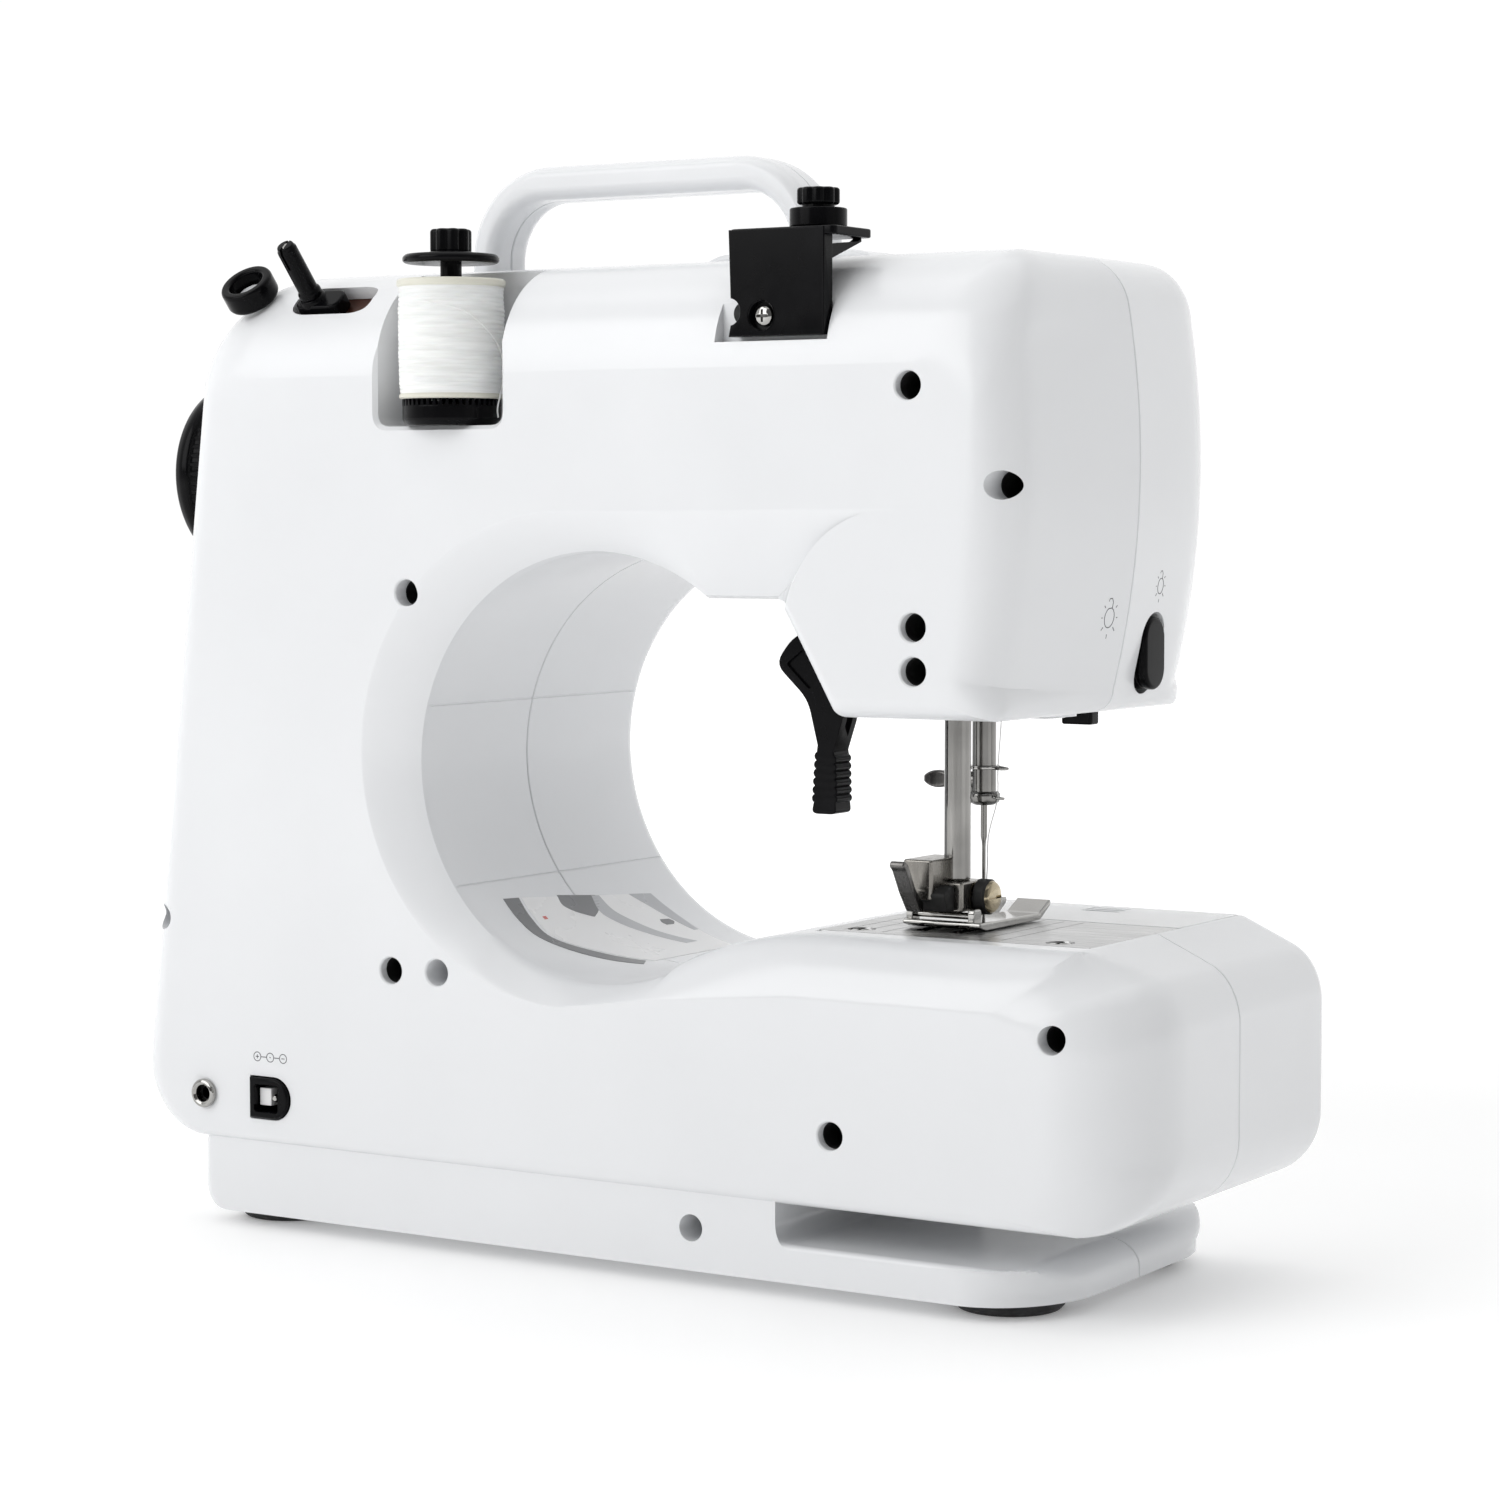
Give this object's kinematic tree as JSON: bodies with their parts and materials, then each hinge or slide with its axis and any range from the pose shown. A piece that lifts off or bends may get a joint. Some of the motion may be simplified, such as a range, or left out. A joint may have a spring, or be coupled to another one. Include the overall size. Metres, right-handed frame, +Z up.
{
  "type": "portable mini sewing machine",
  "caption": "Portable domestic sewing machine with free arm, carrying handle, handwheel, needle and presser-foot gear, spool and bobbin winder.",
  "frame": {"origin": "centre of the bounding box in plan, on the table the feet stand on", "axes": "+X towards the handwheel, -X towards the needle end, +Y out of the back of the machine, +Z up"},
  "size_m": [0.286, 0.1216, 0.2575],
  "materials": {
    "white_shell": "glossy white ABS",
    "black_plastic": "glossy black",
    "rubber": "matt black",
    "steel": "brushed",
    "chrome": "bright plated",
    "zinc": "zinc plated",
    "clear": "clear moulded plastic",
    "thread": "white sewing thread",
    "cream": "cream spool plastic",
    "board": "green circuit board"
  },
  "bodies": {
    "frame": {"rear_cover": "white_shell", "front_cover": "white_shell", "bottom_cover": "white_shell", "carry_handle_rear": "white_shell", "carry_handle_front": "white_shell", "foot_wheel_end_back": "rubber", "foot_wheel_end_front": "rubber", "foot_needle_end_back": "rubber", "foot_needle_end_front": "rubber", "thread_guide_bracket": "black_plastic", "guide_screw": "chrome", "spool_pin": "black_plastic", "winder_stop_ring": "black_plastic", "dc_jack": "black_plastic", "pedal_jack": "chrome", "lamp_lens": "clear", "thread_cutter": "black_plastic", "needle_plate": "steel", "drive_belt": "rubber", "timing_belt": "rubber", "motor": "steel", "bobbin_case": "black_plastic", "chassis": "zinc", "shaft_bush_needle_end": "steel", "shaft_bush_wheel_end": "steel", "control_board": "board"},
    "wheel": {"handwheel": "black_plastic", "main_shaft": "steel", "drive_pulley": "white_shell", "crank_disc": "zinc"},
    "conrod": {"connecting_rod": "zinc"},
    "motor_wheel": {"motor_pulley": "black_plastic"},
    "lower_shaft": {"hook_shaft": "steel"},
    "hook": {"rotary_hook": "steel"},
    "bobbin_body": {"bobbin": "clear"},
    "slide_cover": {"bobbin_cover": "clear"},
    "feed": {"feed_dog": "steel"},
    "needle_carrier": {"needle_bar": "steel", "needle_clamp": "steel", "needle": "steel"},
    "needle_screw": {"clamp_screw": "steel"},
    "take_up": {"take_up_lever": "chrome"},
    "presser": {"presser_bar": "steel", "presser_spring": "steel", "presser_ankle": "chrome"},
    "shank_screw": {"ankle_screw": "chrome"},
    "release": {"foot_release": "steel"},
    "sole": {"presser_foot": "chrome"},
    "lifter": {"presser_lifter": "black_plastic"},
    "spool": {"spool_core": "cream", "thread_winding": "thread"},
    "cap": {"spool_cap": "black_plastic"},
    "winder": {"winder_arm": "black_plastic"},
    "winder_pin": {"winder_spindle": "black_plastic"},
    "pretension": {"pretension_knob": "black_plastic"},
    "tension": {"tension_dial": "white_shell"},
    "stitch": {"stitch_dial": "white_shell"},
    "power": {"power_button": "white_shell"},
    "speed": {"speed_button": "white_shell"},
    "lamp": {"lamp_switch": "black_plastic"}
  },
  "joints": [
    {"name": "wheel_spin", "type": "hinge", "parent": "frame", "child": "wheel", "pos_m": [0.12, 0.005, 0.184], "axis": [1, 0, 0], "continuous": true},
    {"name": "conrod_pivot", "type": "hinge", "parent": "wheel", "child": "conrod", "pos_m": [-0.087, -0.0085, 0.184], "axis": [1, 0, 0], "continuous": true},
    {"name": "motor_spin", "type": "hinge", "parent": "frame", "child": "motor_wheel", "pos_m": [0.103, 0.03, 0.06], "axis": [1, 0, 0], "continuous": true},
    {"name": "lower_shaft_spin", "type": "hinge", "parent": "frame", "child": "lower_shaft", "pos_m": [0, -0.021, 0.046], "axis": [1, 0, 0], "continuous": true},
    {"name": "hook_spin", "type": "hinge", "parent": "frame", "child": "hook", "pos_m": [-0.08, -0.021, 0.06], "axis": [0, 0, 1], "continuous": true},
    {"name": "bobbin_spin", "type": "hinge", "parent": "frame", "child": "bobbin_body", "pos_m": [-0.08, -0.021, 0.068], "axis": [0, 0, 1], "continuous": true},
    {"name": "bobbin_cover_slide", "type": "slide", "parent": "frame", "child": "slide_cover", "axis": [0, -1, 0], "range_m": [0, 0.03]},
    {"name": "feed_travel", "type": "slide", "parent": "frame", "child": "feed", "axis": [0, 1, 0], "range_m": [-0.0012, 0.0012]},
    {"name": "needle_travel", "type": "slide", "parent": "frame", "child": "needle_carrier", "axis": [0, 0, 1], "range_m": [-0.0165, 0.0105]},
    {"name": "clamp_screw_turn", "type": "hinge", "parent": "needle_carrier", "child": "needle_screw", "pos_m": [-0.07, 0.005, 0.1135], "axis": [1, 0, 0], "continuous": true},
    {"name": "take_up_swing", "type": "hinge", "parent": "frame", "child": "take_up", "pos_m": [-0.072, -0.022, 0.178], "axis": [1, 0, 0], "range_deg": [-12, 25]},
    {"name": "presser_travel", "type": "slide", "parent": "frame", "child": "presser", "axis": [0, 0, 1], "range_m": [0, 0.006], "deforming": ["presser_spring"]},
    {"name": "shank_screw_turn", "type": "hinge", "parent": "presser", "child": "shank_screw", "pos_m": [-0.086, 0.0155, 0.0882], "axis": [1, 0, 0], "continuous": true},
    {"name": "release_press", "type": "hinge", "parent": "presser", "child": "release", "pos_m": [-0.075, 0.0288, 0.087], "axis": [1, 0, 0], "range_deg": [0, 8], "stiffness_Nm_per_rad": 0.05},
    {"name": "sole_tilt", "type": "hinge", "parent": "presser", "child": "sole", "pos_m": [-0.079, 0.021, 0.0842], "axis": [1, 0, 0], "range_deg": [-7, 0]},
    {"name": "lifter_swing", "type": "hinge", "parent": "frame", "child": "lifter", "pos_m": [-0.066, 0.0275, 0.15], "axis": [0, 1, 0], "range_deg": [-40, 0]},
    {"name": "spool_spin", "type": "hinge", "parent": "frame", "child": "spool", "pos_m": [0.0392, 0.048, 0.2], "axis": [0, 0, 1], "continuous": true},
    {"name": "cap_lift", "type": "slide", "parent": "frame", "child": "cap", "axis": [0, 0, 1], "range_m": [0, 0.0145]},
    {"name": "winder_shift", "type": "slide", "parent": "frame", "child": "winder", "axis": [-1, 0, 0], "range_m": [0, 0.008]},
    {"name": "winder_spin", "type": "hinge", "parent": "winder", "child": "winder_pin", "pos_m": [0.082, 0.0457, 0.2254], "axis": [0, 0.6561, 0.7547], "continuous": true},
    {"name": "pretension_turn", "type": "hinge", "parent": "frame", "child": "pretension", "pos_m": [-0.0588, 0.045, 0.24], "axis": [0, 0, 1], "continuous": true},
    {"name": "tension_turn", "type": "hinge", "parent": "frame", "child": "tension", "pos_m": [-0.048, -0.05, 0.196], "axis": [0, 1, 0], "range_deg": [-140, 140]},
    {"name": "stitch_turn", "type": "hinge", "parent": "frame", "child": "stitch", "pos_m": [0.084, -0.05, 0.14], "axis": [0, 1, 0], "continuous": true},
    {"name": "power_press", "type": "slide", "parent": "frame", "child": "power", "axis": [0, 1, 0], "range_m": [0, 0.002], "stiffness_N_per_m": 300},
    {"name": "speed_press", "type": "slide", "parent": "frame", "child": "speed", "axis": [0, 1, 0], "range_m": [0, 0.002], "stiffness_N_per_m": 300},
    {"name": "lamp_rock", "type": "hinge", "parent": "frame", "child": "lamp", "pos_m": [-0.11, -0.0095, 0.1428], "axis": [0, 1, 0], "range_deg": [-8, 8]}
  ],
  "couplings": [
    {"joint": "conrod_pivot", "follows": "wheel_spin", "ratio": -1},
    {"joint": "motor_spin", "follows": "wheel_spin", "ratio": 3.3333},
    {"joint": "lower_shaft_spin", "follows": "wheel_spin", "ratio": 1},
    {"joint": "hook_spin", "follows": "wheel_spin", "ratio": 2},
    {"joint": "lifter_swing", "follows": "presser_travel", "rad_per_m": -116.3}
  ]
}
